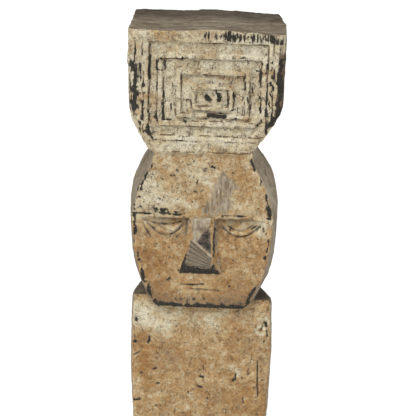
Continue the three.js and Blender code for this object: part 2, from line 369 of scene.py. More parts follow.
CRACKS = (
    (1.2, 1.3, on_forehead(22, 0.26), on_forehead(36, 0.4), on_forehead(53, 0.52)),
    (1.2, 1.2, (27, CHIN - 20), (27, CHIN - 7)),
    (0.9, 1.3, (65, HEADDRESS_FOOT - 2), (66, HEADDRESS_FOOT + 11)),
)
# A dark pit in a pale ring, near the plank's right shoulder, and the ring's half width.
RINGED_PIT = (SHOULDER - 16, CHIN + 38)
RING_HALF_WIDTH = 6.0
PLANK_LINES = (
    (1.2, 2.4, RINGED_PIT, part_way(RINGED_PIT, (SHOULDER, CHIN), 0.2)),
    (1.7, 1.5, (SHOULDER - 19, CHIN + 88), (SHOULDER - 17, CHIN + 145)),
    (1.2, 1.5, (SHOULDER - 27, CHIN + 78), (SHOULDER - 34, CHIN + 110)),
)


def hatching(face, rows):
    """Shallow parallel lines across a four-cornered face, from its left side to its right."""
    top_left, top_right, low_right, low_left = np.array(face, float)
    lines = []
    for row in range(rows):
        part = (row + 0.5) / rows
        start = top_left + (low_left - top_left) * part
        end = top_right + (low_right - top_right) * part
        lines.append((1.0, 1.2, tuple(start), tuple(end)))
    return tuple(lines)


# ---- flecks and pits, scattered with steady seeds ----
def scattered(seed, count, across, down, longest, lean=0.0, spread=90.0, widths=(1.2, 2.4)):
    """Short strokes at random in an oblong; the lean is their angle from level."""
    pick = np.random.default_rng(seed)
    marks = []
    for _ in range(count):
        x = pick.uniform(*across)
        drop = pick.uniform(*down)
        half = 0.5 * longest * pick.random() ** 2
        angle = math.radians(lean + spread * pick.uniform(-1.0, 1.0))
        dx, dd = half * math.cos(angle), half * math.sin(angle)
        strength = pick.uniform(0.65, 1.0)
        marks.append((strength, pick.uniform(*widths), (x - dx, drop - dd), (x + dx, drop + dd)))
    return tuple(marks)


HEADDRESS_FLECKS = (
    scattered(11, 14, (-78, 70), (40, 172), 13.0, 0.0, 25.0, (0.9, 1.8))
    + scattered(12, 18, (-80, 96), (18, 140), 12.0, 90.0, 14.0, (0.9, 1.8))
    + scattered(13, 9, (46, 98), (18, 60), 12.0, 0.0, 25.0, (0.9, 1.5))
)
HEAD_FLECKS = (
    scattered(21, 46, (-98, -10), (HEADDRESS_FOOT + 34, BROW - 3), 6.0, widths=(0.8, 1.4))
    + scattered(22, 9, (-62, 50), (HEADDRESS_FOOT + 10, HEADDRESS_FOOT + 36), 10.0, 0.0, 30.0, (1.0, 1.7))
    + scattered(23, 18, (36, 92), (BROW + 15, CHIN - 28), 7.0, 90.0, 30.0, (0.9, 1.8))
    + scattered(24, 14, (-88, -30), (BROW + 25, CHIN - 18), 7.0, 90.0, 50.0, (0.9, 1.8))
    + scattered(25, 6, (-50, 60), (CHIN - 26, CHIN - 8), 7.0, 90.0, 30.0)
)
PLANK_PITS = (
    scattered(31, 18, (-98, -52), (CHIN + 52, CHIN + 222), 10.0, widths=(1.3, 2.6))
    + scattered(32, 14, (-46, 12), (CHIN + 82, CHIN + 242), 8.0, 90.0, 40.0, (1.3, 2.6))
    + scattered(33, 22, (40, 98), (CHIN + 34, CHIN + 242), 10.0, 90.0, 50.0, (1.2, 2.2))
    + scattered(34, 22, (-94, 94), (CHIN + 242, BASE_TOP - 11), 10.0)
)
# The marks that are seen first, set one by one.
# Painted shade in the sockets, under the brow and beside the nose.
LID_SHADES = (
    (1.0, 8.0, in_socket("left", 0.6, 6), in_socket("left", 0.06, 8)),
    (1.0, 8.0, in_socket("right", 0.1, 7), in_socket("right", 0.7, 5)),
    (0.65, 8.0, in_socket("right", 0.28, 16), in_socket("right", 0.66, 15)),
    (0.9, 7.0, in_socket("right", 0.12, 9), in_socket("right", 0.1, 34)),
    (0.8, 7.0, in_socket("left", 0.04, 9), in_socket("left", 0.06, 40)),
)
SOCKET_DOTS = (
    (0.9, 1.8, in_socket("right", 0.34, 18), in_socket("right", 0.35, 19)),
    (0.9, 1.4, in_socket("right", 0.72, 18), in_socket("right", 0.83, 12)),
)
MIDDLE_PITS = (
    (1.0, 3.8, in_frame(FRAMES[3], 0.35, 0.45), in_frame(FRAMES[3], 0.41, 0.58)),
    (1.0, 3.0, in_frame(FRAMES[3], 0.67, 0.35), in_frame(FRAMES[3], 0.68, 0.65)),
    (1.0, 3.2, in_frame(FRAMES[3], 0.42, 1.35), in_frame(FRAMES[3], 0.83, 1.35)),
)
# A small curled mark in the middle of the plank.
PLANK_CURL = (
    (0.8, 2.8, (0, CHIN + 116), (5, CHIN + 117)),
    (0.5, 1.6, *bowed((-7, CHIN + 120), (-6, CHIN + 128), 1)),
    (0.8, 2.8, (-4, CHIN + 131), (2, CHIN + 133)),
)
# Soft dark bands along the chin, and dirt at the left end of the brow.
DARK_BANDS = (
    (1.0, 8.0, (-50, CHIN - 12), (0, CHIN - 11)),
    (1.0, 7.0, (28, CHIN - 15), (58, CHIN - 12)),
    (1.0, 6.0, on_forehead(-94, 0.9), on_forehead(-62, 0.92)),
)
# Where the skin is finely specked with black.
SPECKED = (
    (1.0, 20.0, on_forehead(-80, 0.45), on_forehead(-72, 0.8)),
    (0.9, 14.0, on_forehead(-50, 0.7), on_forehead(-40, 0.9)),
    (0.6, 16.0, in_socket("right", 0.8, 30), in_socket("right", 0.75, 90)),
)
# Soft grey smudges on the plank, the left cheek, the chin, the right cheek and the forehead.
SMUDGES = (
    scattered(61, 14, (-92, 92), (CHIN + 50, CHIN + 250), 26.0, 80.0, 40.0, (3.0, 6.0))
    + scattered(62, 5, (-86, -36), (BROW + 40, CHIN - 20), 20.0, 60.0, 30.0, (3.0, 5.0))
    + scattered(65, 7, (-56, 60), (CHIN - 48, CHIN - 10), 22.0, 90.0, 40.0, (3.0, 5.0))
    + scattered(63, 6, (32, 90), (BROW + 40, CHIN - 12), 20.0, 90.0, 30.0, (2.5, 4.0))
    + scattered(64, 6, (-90, 10), (HEADDRESS_FOOT + 20, BROW - 10), 26.0, 0.0, 40.0, (3.0, 5.0))
)
# Where the black is combed into fine upright ticks along the headdress's top edge.
COMBED_RUNS = (
    (1.0, 5.0, in_frame(FRAMES[0], 0.47, -0.06), in_frame(FRAMES[0], 0.53, -0.05)),
    (1.0, 6.0, in_frame(FRAMES[0], 0.63, -0.05), in_frame(FRAMES[0], 0.9, -0.04)),
    (1.0, 6.5, in_frame(FRAMES[0], 0.98, -0.04), in_frame(FRAMES[0], 1.08, 0.0)),
)


# ---- the carved mesh ----
def fine_copy(node):
    """The solid's mesh again, with small even faces."""
    piece = bpy.data.objects.new("carved_figure", node.data.copy())
    bpy.context.scene.collection.objects.link(piece)
    even = piece.modifiers.new("even faces", "REMESH")
    even.mode = "VOXEL"
    even.voxel_size = VOXEL * MM
    return settled(piece)


def settled(piece):
    """Makes a piece's modifiers part of its mesh."""
    graph = bpy.context.evaluated_depsgraph_get()
    mesh = bpy.data.meshes.new_from_object(piece.evaluated_get(graph))
    piece.modifiers.clear()
    piece.data = mesh
    return piece


def deepened_bands(places):
    """How much deeper the sunken bands between the frames are cut."""
    on_headdress = places.front & (places.drop < HEADDRESS_FOOT - 6.0)
    sunken = ramp(places.y - FRONT, 1.2, 2.8) * (places.left_gap > 16.0)
    uneven = 1.0 + 0.5 * noise(places.points, 8.0, 8)
    return 0.8 * on_headdress * sunken * (places.right_gap > 10.0) * uneven


def worn_down(places):
    """Softens the edges, most where they stand out, and leaves the wide flats alone."""
    soft = places.smoothed(places.points, 2)
    rough = 0.5 + 0.5 * noise(places.points, 22.0, 5)
    share = np.clip(0.4 + 0.6 * rough, 0.2, 0.9)
    places.points += (soft - places.points) * share[:, None]
    places.measure()


def edge_chips(places):
    """Small bites out of the edges."""
    proud = -places.hollows(6)
    bite = ramp(noise(places.points, 13.0, 21, 3), 0.1, 0.65) * ramp(proud, 0.12, 0.6)
    return 2.4 * bite


def beside_the_frames(places):
    """1 on the frames' uprights, 0 on their level runs."""
    outer = FRAMES[0]
    across = abs(places.x - (outer["left"] + outer["right"]) / 2) / (outer["right"] - outer["left"])
    middle = (outer["top"] + outer["bottom"]) / 2
    down = abs(places.drop - middle) / (outer["bottom"] - outer["top"])
    return ramp(across - down, -0.05, 0.05)


def scratches(places):
    """Fine tool scratches that follow the frames on the headdress's front."""
    upright = noise(places.points, (2.8, 6.0, 20.0), 41, 2)
    level = noise(places.points, (20.0, 6.0, 2.8), 42, 2)
    share = beside_the_frames(places)
    both = share * upright + (1.0 - share) * level
    return both * places.front * (places.drop < HEADDRESS_FOOT)


def adze_scoops(points):
    """Shallow scoops with low ridges between them, as an adze leaves."""
    broad = np.abs(noise(points, (24.0, 24.0, 38.0), 6, 1))
    small = np.abs(noise(points, (11.0, 11.0, 17.0), 7, 1))
    return 1.1 * np.minimum(broad, 0.8) + 0.4 * np.minimum(small, 0.8)


def surface_marks(places):
    """Low swells, tool marks and grain over the whole stone, as depths."""
    points, drop = places.points, places.drop
    on_headdress = places.front * (drop < HEADDRESS_FOOT)
    depth = 0.45 * noise(points, 38.0, 1)
    depth += 0.35 * noise(points, 8.0, 2)
    depth += on_headdress * (0.5 * noise(points, 6.5, 4) + 0.6 * scratches(places))
    return depth + ~places.front * adze_scoops(points)


def carved_lines(places):
    """The scored and raised lines, the nose's hatching and the pits, as depths."""
    scored = EYE_LINES + MOUTH_LINES + NOSE_LINES + CRACKS + PLANK_LINES
    deep = tuple(mark for mark in scored if mark[0] > 0)
    raised = tuple((-mark[0], *mark[1:]) for mark in scored if mark[0] < 0)
    depth = strokes(places, deep, 0.6) - strokes(places, raised, 0.4)
    depth += strokes(places, hatching(SHEARED_FACE, 6))
    depth += 1.3 * strokes(places, PLANK_PITS + PLANK_CURL, 0.8)
    return depth + 2.2 * strokes(places, MIDDLE_PITS, 0.5)


def dressed_mesh(piece):
    """Cuts the fine relief into the even faces."""
    mesh = piece.data
    places = Places(mesh)
    places.points[:, 1] += deepened_bands(places)
    worn_down(places)
    depth = surface_marks(places) + edge_chips(places)
    places.points -= places.normals * depth[:, None]
    places.points[:, 1] += carved_lines(places)
    put_inside(mesh, places.points)


def put_inside(mesh, points):
    """Gives a mesh its points, none of them outside the solid's own box."""
    low = np.array(cad_low) / MM
    high = np.array(cad_high) / MM
    points = np.clip(points, low + 0.01, high - 0.01)
    mesh.vertices.foreach_set("co", (points * MM).ravel())
    mesh.update()


def thinned(piece):
    """Joins small flat faces until the piece is light enough."""
    faces = sum(len(polygon.vertices) - 2 for polygon in piece.data.polygons)
    if faces > FACE_LIMIT:
        fewer = piece.modifiers.new("fewer faces", "DECIMATE")
        fewer.ratio = FACE_LIMIT / faces
        settled(piece)
    put_inside(piece.data, Places(piece.data).points)


# ---- where the black patina shows, and where shade is painted ----
def frame_soot(places):
    """Black left in the grooves on each side of the frames' uprights."""
    total = np.zeros(len(places.x))
    for number, ring in enumerate(FRAMES):
        off = ring["ridge"] / 2 + 1.5
        for side, way in (("left", 1), ("right", -1)):
            share = ring["black"][0 if side == "left" else 1]
            for turn, x in enumerate((ring[side] + way * off, ring[side] - way * off)):
                path = ((x, ring["top"] + 8), (x, ring["bottom"] - 6))
                seed = 100 + 10 * number + 2 * turn + way
                band = broken_line(places, path, 2.2, share, seed, UPRIGHT_PIECES)
                total = np.maximum(total, band)
    return total


def frame_lines(places, share, seed, width=1.2):
    """Thin lines along the level ridges' feet, broken to a share of their length."""
    total = np.zeros(len(places.x))
    for number, ring in enumerate(FRAMES):
        off = ring["ridge"] / 2 + 0.8
        for drop in (ring["top"] + off, ring["bottom"] - off, ring["bottom"] + off):
            path = ((ring["left"] + 3, drop), (ring["right"] - 3, drop))
            own_seed = seed + 7 * number + int(drop)
            line = broken_line(places, path, width, share, own_seed, LEVEL_PIECES)
            total = np.maximum(total, line)
    return total


def upright_shadow_lines(places, share, width=1.2):
    """Thin painted shadow lines beside the frames' uprights, broken to a share of their length."""
    total = np.zeros(len(places.x))
    for number, ring in enumerate(FRAMES):
        off = ring["ridge"] / 2 + 0.8
        sides = (ring["left"] - off, ring["left"] + off, ring["right"] - off, ring["right"] + off)
        for turn, x in enumerate(sides):
            path = ((x, ring["top"]), (x, ring["bottom"]))
            own_seed = 340 + 4 * number + turn
            line = broken_line(places, path, width, share, own_seed, UPRIGHT_PIECES)
            total = np.maximum(total, line)
    return total


# Runs along the front's rims: side, from and to as drops, how far in, half width, share.
RIM_RUNS = (
    ("left", 12, 48, 8.0, 2.6, 0.4),
    ("left", 52, 112, 5.5, 6.5, 0.92),
    ("left", 50, 104, 16.0, 1.6, 0.35),
    ("left", 112, 150, 4.0, 3.0, 0.5),
    ("left", 112, 160, 12.0, 2.4, 0.5),
    ("left", 200, 240, 2.0, 1.8, 0.6),
    ("left", 250, 274, 4.0, 4.5, 0.6),
    ("left", 277, 344, 3.0, 2.4, 0.75),
    ("left", 352, 414, 3.5, 3.4, 0.85),
    ("left", 432, 480, 3.0, 3.0, 0.55),
    ("right", 12, 40, 6.0, 3.0, 0.5),
    ("right", 40, 134, 1.5, 4.2, 0.72),
    ("right", 30, 150, 12.0, 1.8, 0.4),
    ("right", 186, 262, 2.0, 1.8, 0.55),
    ("right", 260, 274, 4.0, 4.0, 0.85),
    ("right", 300, 345, 2.5, 1.5, 0.4),
    ("right", 384, 414, 3.5, 3.2, 0.85),
    ("right", 430, 600, 4.0, 1.6, 0.25),
)


def rim_soot(places):
    """Black along the rims of the headdress, the head and the plank."""
    total = np.zeros(len(places.x))
    for number, (side, start, end, inset, width, share) in enumerate(RIM_RUNS):
        gap = places.left_gap if side == "left" else places.right_gap
        beyond = np.maximum(start - places.drop, places.drop - end)
        gap = np.hypot(gap - inset, np.maximum(beyond, 0.0))
        gap[places.plank != (start > CHIN)] = 1e9
        total = np.maximum(total, broken(places, gap, width, share, 200 + number, RIM_PIECES))
    return total


def level_soot(places):
    """Black above the brow and along the chin."""
    total = np.zeros(len(places.x))
    runs = (
        ((-103, BROW - 1), (-31, BROW - 1), 1.1, 0.9, LEVEL_PIECES),
        ((-98, BROW - 8), (-38, BROW - 5), 4.5, 0.3, BROW_PIECES),
        ((27, BROW - 1), (102, BROW - 1), 1.0, 0.45, LEVEL_PIECES),
        ((-72, CHIN - 4), (74, CHIN - 2), 4.6, 0.97, LEVEL_PIECES),
    )
    for number, (start, end, width, share, pieces) in enumerate(runs):
        gap = distance_to((start, end), places.x, places.drop)
        gap[places.plank & (places.drop > CHIN - 20)] = 1e9
        total = np.maximum(total, broken(places, gap, width, share, 230 + number, pieces))
    return total


def nose_soot_and_shade(places):
    """Black under the nose, on its wedges and down its right edge, and painted shade on its dark right
    face.
    """
    total = np.maximum(facet(places, UNDERSIDE), facet(places, LEFT_WEDGE))
    total = np.maximum(total, 0.8 * facet(places, RIGHT_WEDGE))
    edge = (on_nose(1.06, 0.3), on_nose(1.04, 0.95))
    groove = broken_line(places, edge, 1.6, 0.9, 250, UPRIGHT_PIECES)
    # Painted shade on the nose's right face.
    dark = 0.55 * facet(places, DARK_FACE, 2.0)
    return np.max((0.85 * total, dark, groove), axis=0)


def combed(places):
    """1 along the top edge, where the black lies in fine upright ticks."""
    return strokes(places, COMBED_RUNS) * (places.drop < FRAMES[0]["top"] + 2)


def hollow_soot(places):
    """Black caught in the hollows, less of it on the headdress."""
    strength = np.where(places.drop < HEADDRESS_FOOT, 0.2, 0.4)
    return strength * ramp(places.hollows(8), 0.3, 1.6)


def side_soot(places):
    """Faint black clouds on the sides and the back."""
    clouds = noise(places.points, (22.0, 22.0, 36.0), 35)
    return 0.44 * ~places.front * ramp(clouds, 0.35, 0.8)


def sooty_and_shaded(places):
    """How black each place is, from all the kinds of mark, with painted shade on the nose and the right
    bevel; a deeper line is blacker.
    """
    flecks = strokes(places, HEADDRESS_FLECKS + HEAD_FLECKS + MIDDLE_PITS + PLANK_CURL, 1.0)
    scored = MOUTH_LINES + PLANK_LINES
    lines = tuple((min(0.5 * mark[0], 0.8), *mark[1:]) for mark in scored)
    lids = tuple((0.58, *mark[1:]) for mark in EYE_LINES if mark[0] > 0)
    layers = (
        frame_soot(places),
        frame_lines(places, LEVEL_BLACK, 300),
        rim_soot(places),
        level_soot(places),
        nose_soot_and_shade(places),
        flecks,
        strokes(places, lines + lids + SOCKET_DOTS, 0.5),
        0.66 * strokes(places, hatching(SHEARED_FACE, 6), 1.2),
        0.56 * combed(places),
        0.86 * strokes(places, PLANK_PITS, 1.8),
        hollow_soot(places),
        0.42 * strokes(places, DARK_BANDS, 3.0),
        0.38 * strokes(places, SMUDGES, 5.0),
        # Painted shade on the headdress's right bevel, over its dark stone.
        0.38 * right_bevel_dark_and_shaded(places),
        side_soot(places),
    )
    return np.max(layers, axis=0)


def right_bevel_dark_and_shaded(places):
    """The dark brown bevel down the headdress's right side, with painted shade where it turns from the
    light.
    """
    start, full, fading, end = BEVEL_RUN
    turned = ramp(places.normals[:, 0], 0.2, 0.45) * (places.y < BEVEL_BACK)
    turned = turned * (places.x > FRAMES[0]["right"] + 5)
    return turned * ramp(places.drop, start, full) * fall(places.drop, fading, end)


def stained_and_shaded(places):
    """Painted brown shadow lines along the ridges and under the headdress, painted shade on its bevel and
    in the sockets, and brown toward the chin and in the mouth.
    """
    # A painted shadow line along the headdress's foot.
    neck = ((-66, HEADDRESS_FOOT - 2), (66, HEADDRESS_FOOT - 2))
    below = broken_line(places, neck, 1.3, 0.6, 330, LEVEL_PIECES)
    # Painted shade in the sockets.
    sockets = 0.52 * strokes(places, LID_SHADES, 2.0)
    # Brown painted shadow lines at the ridges' feet and beside the uprights.
    lines = np.maximum(frame_lines(places, LEVEL_SHADOW_LINES, 320), upright_shadow_lines(places, UPRIGHT_SHADOW_LINES))
    chin = 0.5 * ramp(places.drop, CHIN - 50, CHIN - 8) * places.front * ~places.plank
    lips = strokes(places, tuple((0.7, 1.8, *mark[2:]) for mark in MOUTH_LINES), 1.0)
    return np.max((lines, below, right_bevel_dark_and_shaded(places), sockets, chin, lips), axis=0)


# ---- where the skin is pale, rusty or gone ----
# Soft patches: strength, half width, then corners.
PALE = (
    # The first three lie below the chin: paler skin, and painted light that lifts the head's shadow off
    # the plank.
    (0.85, 24.0, (8 - SHOULDER, CHIN + 12), (-48, CHIN + 26)),
    (0.95, 22.0, (-48, CHIN + 14), (12, CHIN + 24)),
    (0.75, 17.0, (10, CHIN + 14), (SHOULDER - 10, CHIN + 16)),
    (0.22, 20.0, on_forehead(-72, 0.5), on_forehead(-52, 0.9)),
    (0.2, 14.0, on_forehead(-50, 0.2), on_forehead(0, 0.4)),
    (0.7, 8.0, in_socket("right", 0.9, 9), in_socket("right", 0.92, 25)),
    (0.7, 7.0, in_socket("left", 0.3, 25), in_socket("left", 0.46, 37)),
    (0.8, 4.0, (47, CHIN + 96), (56, CHIN + 109)),
    (0.7, 7.0, (0, CHIN + 124), (1, CHIN + 124)),
)
RUST = (
    (0.8, 7.0, in_frame(FRAMES[0], 0.06, -0.04), in_frame(FRAMES[0], 0.23, -0.03)),
    (0.7, 6.0, (-100, 112), (-98, 120)),
    (0.6, 22.0, on_forehead(62, 0.37), on_forehead(80, 0.74)),
    (0.7, 10.0, on_forehead(-4, 0.74), on_forehead(-2, 0.88)),
    (0.8, 15.0, (-80, BROW + 60), (-66, BROW + 77)),
    (0.7, 11.0, (20 - SHOULDER, CHIN + 52), (24 - SHOULDER, CHIN + 132)),
) + scattered(51, 16, (-100, 96), (6, 174), 40.0, 0.0, 25.0, (3.0, 6.0))


def keep(mesh, name, values):
    """Stores one value for each vertex under a name."""
    field = mesh.attributes.new(name, "FLOAT", "POINT")
    field.data.foreach_set("value", np.clip(values, 0.0, 1.0).astype(np.float32))


def bared(places):
    """1 where there is no skin: the top, shoulders, sides and back, and rubbed or cut places."""
    y, drop = places.y, places.drop
    side = np.abs(places.normals[:, 0])
    up = places.normals[:, 2]
    top = ramp(up, 0.5, 0.8) * np.maximum(fall(drop, 4.0, 9.0), 0.8 * (drop > BASE_TOP - 12.0))
    shoulder = ramp(up, 0.3, 0.6) * (drop > CHIN - 23.0) * (drop < CHIN + 42.0) * (y > PLANK_FLAT)
    on_head = (drop > HEADDRESS_FOOT) * (drop < CHIN)
    head_side = ramp(side, 0.3, 0.6) * on_head * (y > HEAD_FLAT)
    hidden = np.maximum(ramp(side, 0.6, 0.85), ramp(y, 20.0, 40.0))
    hidden = hidden * (0.78 - 0.36 * noise(places.points, 34.0, 33))
    bare = np.max((top, shoulder, head_side, hidden), axis=0)
    # The nose's right face is bared darker as painted shade; its sheared face is bare stone.
    nose = np.max((0.9 * facet(places, DARK_FACE, 3.0), facet(places, SHEARED_FACE)), axis=0)
    return np.max((bare, 0.68 * rubbed(places), nose), axis=0)


def rubbed(places):
    """1 where hands have rubbed the skin down: a patch on the forehead and the upper nose."""
    patch = np.maximum(facet(places, RUBBED_PEAK, 7.0), facet(places, RUBBED_BAND, 8.0))
    return np.maximum(0.92 * patch, facet(places, UPPER_NOSE, 4.0))


def grimed_and_shaded(places):
    """How dirty the stone is, and where shade is painted: most on the shoulders, dirty and in painted
    shade beside the head, then on the top, the base and the back, and painted shade on the nose's faces.
    """
    up = ramp(places.normals[:, 2], 0.3, 0.7)
    drop = places.drop
    top = up * fall(drop, 6.0, 14.0) * (0.5 + 0.5 * ramp(places.y, -10.0, 50.0))
    # Dirt and painted shade on the shoulders beside the head.
    shoulder = up * ramp(drop, CHIN - 26.0, CHIN - 18.0) * fall(drop, CHIN + 22.0, CHIN + 52.0)
    base_top = 0.5 * up * ramp(drop, BASE_TOP - 12.0, BASE_TOP)
    # Painted shade on the nose's sheared face and its right face.
    nose = np.maximum(0.5 * facet(places, SHEARED_FACE), 0.75 * facet(places, DARK_FACE, 3.0))
    patches = 0.5 + 0.5 * noise(places.points, 40.0, 34)
    under_head = ramp(drop, CHIN - 38.0, CHIN) * fall(drop, CHIN, CHIN + 102.0)
    back = ramp(places.y, 10.0, 40.0) * (0.1 + 0.3 * patches + 0.3 * under_head)
    on_head = (drop > HEADDRESS_FOOT) * (drop < CHIN)
    side = 0.42 * on_head * ramp(-places.normals[:, 0], 0.3, 0.6)
    return np.max((top, 0.72 * shoulder, base_top, nose, back, side), axis=0)


def warmth(places):
    """0 for cream, 1 for rusty ochre."""
    drop = places.drop
    base = 0.26 + 0.18 * ramp(drop, HEADDRESS_FOOT - 8.0, HEADDRESS_FOOT + 6.0)
    base += 0.22 * ramp(drop, BROW, BROW + 45.0)
    base += 0.1 * ramp(drop, CHIN - 56.0, CHIN - 26.0) * ~places.plank
    base -= 0.06 * ramp(drop, *LOWER_PLANK)
    base += 0.13 * noise(places.points, 45.0, 31) + 0.12 * noise(places.points, 17.0, 32)
    base += 0.3 * strokes(places, RUST, 5.0)
    from_pit = distance_to((RINGED_PIT, RINGED_PIT), places.x, places.drop)
    ring = fall(np.abs(from_pit - RING_HALF_WIDTH), 0.0, 3.5) * places.plank * places.front
    pale = np.maximum(strokes(places, PALE, 5.0), ring)
    return base - (0.45 * pale + 0.25 * ring) * np.minimum(base / 0.5, 1.0)


def lay_colours(piece):
    """Stores where each kind of colour lies on the mesh, for the material to read."""
    places = Places(piece.data)
    keep(piece.data, "soot_and_shade", sooty_and_shaded(places))
    keep(piece.data, "stain_and_shade", stained_and_shaded(places))
    keep(piece.data, "bare", bared(places))
    keep(piece.data, "grime_and_shade", grimed_and_shaded(places))
    keep(piece.data, "rubbed", rubbed(places))
    keep(piece.data, "combed", combed(places))
    keep(piece.data, "level", ramp(places.normals[:, 2], 0.5, 0.8))
    keep(piece.data, "warmth", warmth(places))
    # Painted shade in the hollows and in the sockets under the brow, and a painted highlight where the
    # stone stands proud.
    keep(piece.data, "hollow_shade_and_highlight", 0.5 + 0.35 * places.hollows(5) + 0.4 * strokes(places, LID_SHADES))
    on_headdress = places.front * (places.drop < HEADDRESS_FOOT - 2.0)
    specked = 0.5 * on_headdress + strokes(places, SPECKED, 6.0)
    keep(piece.data, "specked", specked)
    keep(piece.data, "headdress", on_headdress * (1.0 - strokes(places, MIDDLE_PITS, 0.5)))


# ---- materials ----
class Nodes:
    """A short way to write a node tree."""

    def __init__(self, tree):
        self.tree = tree

    def add(self, kind, **values):
        node = self.tree.nodes.new(kind)
        for name, value in values.items():
            setattr(node, name, value)
        return node

    def put(self, socket, value):
        if isinstance(value, bpy.types.NodeSocket):
            self.tree.links.new(value, socket)
        else:
            socket.default_value = value

    def attribute(self, name):
        return self.add("ShaderNodeAttribute", attribute_name=name).outputs["Fac"]

    def math(self, operation, a, b=0.0, c=0.0):
        node = self.add("ShaderNodeMath", operation=operation)
        for socket, value in zip(node.inputs, (a, b, c)):
            self.put(socket, value)
        return node.outputs[0]

    def about(self, value, amount, centre=0.5):
        """A noise value made to swing about nothing by the amount."""
        return self.math("MULTIPLY", self.math("SUBTRACT", value, centre), amount)

    def noise(self, vector, scale, detail=3.0, roughness=0.55, swirl=0.0):
        node = self.add("ShaderNodeTexNoise")
        self.put(node.inputs["Distortion"], swirl)
        self.put(node.inputs["Vector"], vector)
        self.put(node.inputs["Scale"], scale)
        self.put(node.inputs["Detail"], detail)
        self.put(node.inputs["Roughness"], roughness)
        return node.outputs["Fac"]

    def hairlines(self, vector, scale, width):
        """1 on thin winding lines, 0 between them."""
        value = self.noise(vector, scale, 3.0, 0.6, 1.0)
        off = self.math("ABSOLUTE", self.math("SUBTRACT", value, 0.5))
        return self.between(off, width, 0.0)

    def stretched(self, vector, scale):
        node = self.add("ShaderNodeMapping")
        self.put(node.inputs["Vector"], vector)
        self.put(node.inputs["Scale"], scale)
        return node.outputs[0]

    def between(self, value, low, high, out_low=0.0, out_high=1.0):
        node = self.add("ShaderNodeMapRange", interpolation_type="SMOOTHSTEP")
        for socket, given in zip(node.inputs, (value, low, high, out_low, out_high)):
            self.put(socket, given)
        return node.outputs[0]

    def mix(self, share, a, b):
        node = self.add("ShaderNodeMix", data_type="RGBA")
        self.put(node.inputs[0], share)
        self.put(node.inputs[6], a)
        self.put(node.inputs[7], b)
        return node.outputs[2]

    def stops(self, value, *colours):
        """A row of (place, colour) stops."""
        node = self.add("ShaderNodeValToRGB")
        self.put(node.inputs[0], value)
        bar = node.color_ramp.elements
        while len(bar) < len(colours):
            bar.new(1.0)
        for stop, (place, tint) in zip(bar, colours):
            stop.position = place
            stop.color = tint
        return node.outputs[0]

    def shaded(self, tint, amount):
        """A colour made lighter or darker by a factor."""
        node = self.add("ShaderNodeVectorMath", operation="SCALE")
        self.put(node.inputs[0], tint)
        self.put(node.inputs["Scale"], amount)
        return node.outputs[0]


def colour(red, green, blue):
    """A screen colour, 0 to 255, as the shader wants it."""

    def straight(value):
        value /= 255.0
        return value / 12.92 if value <= 0.04045 else ((value + 0.055) / 1.055) ** 2.4

    return (straight(red), straight(green), straight(blue), 1.0)


TONES = {
    "cream": colour(212, 203, 178),
    "sand": colour(200, 186, 153),
    "tan": colour(182, 153, 110),
    "ochre": colour(160, 124, 80),
    "rust": colour(148, 106, 62),
    "greenish grey": colour(166, 160, 136),
    "cool grey": colour(162, 164, 152),
    "crack brown": colour(84, 66, 46),
    "speck": colour(70, 62, 52),
    "dark taupe": colour(110, 95, 78),
    "taupe": colour(150, 137, 116),
    "light taupe": colour(182, 171, 150),
    # Brown for dirt and for painted shade.
    "grime_and_shade": colour(104, 86, 66),
    # Brown for stains and for painted shade.
    "stain_and_shade": colour(92, 70, 50),
    "worn black": colour(98, 88, 80),
    "black": colour(34, 32, 29),
    "dull black": colour(64, 60, 52),
}


def stone_noises(n, place):
    """The noises that every layer of the stone shares."""
    return {
        "broad": n.noise(place, 22.0, 5.0, 0.6, 0.6),
        "clouds": n.noise(place, 48.0, 5.0, 0.6, 2.2),
        "middle": n.noise(place, 110.0, 5.0, 0.7),
        "fine": n.noise(place, 300.0, 4.0, 0.8),
        "flakes": n.noise(place, 70.0, 6.0, 0.68, 2.0),
        "scabs": n.noise(n.stretched(place, (1.0, 1.3, 1.1)), 80.0, 6.0, 0.68, 2.2),
        "grain": n.noise(place, 560.0, 2.0, 0.7),
        "streaks": n.noise(n.stretched(place, (260.0, 260.0, 40.0)), 1.0, 4.0, 0.65),
        "ticks": n.noise(n.stretched(place, (420.0, 420.0, 50.0)), 1.0, 3.0, 0.6),
        "level": n.noise(n.stretched(place, (30.0, 300.0, 300.0)), 1.0, 4.0, 0.65),
    }


def skin_tones(n, warm):
    """Cream at 0, tan, ochre, and rust at 1."""
    return n.stops(
        warm,
        (0.05, TONES["cream"]),
        (0.28, TONES["sand"]),
        (0.5, TONES["tan"]),
        (0.75, TONES["ochre"]),
        (1.0, TONES["rust"]),
    )


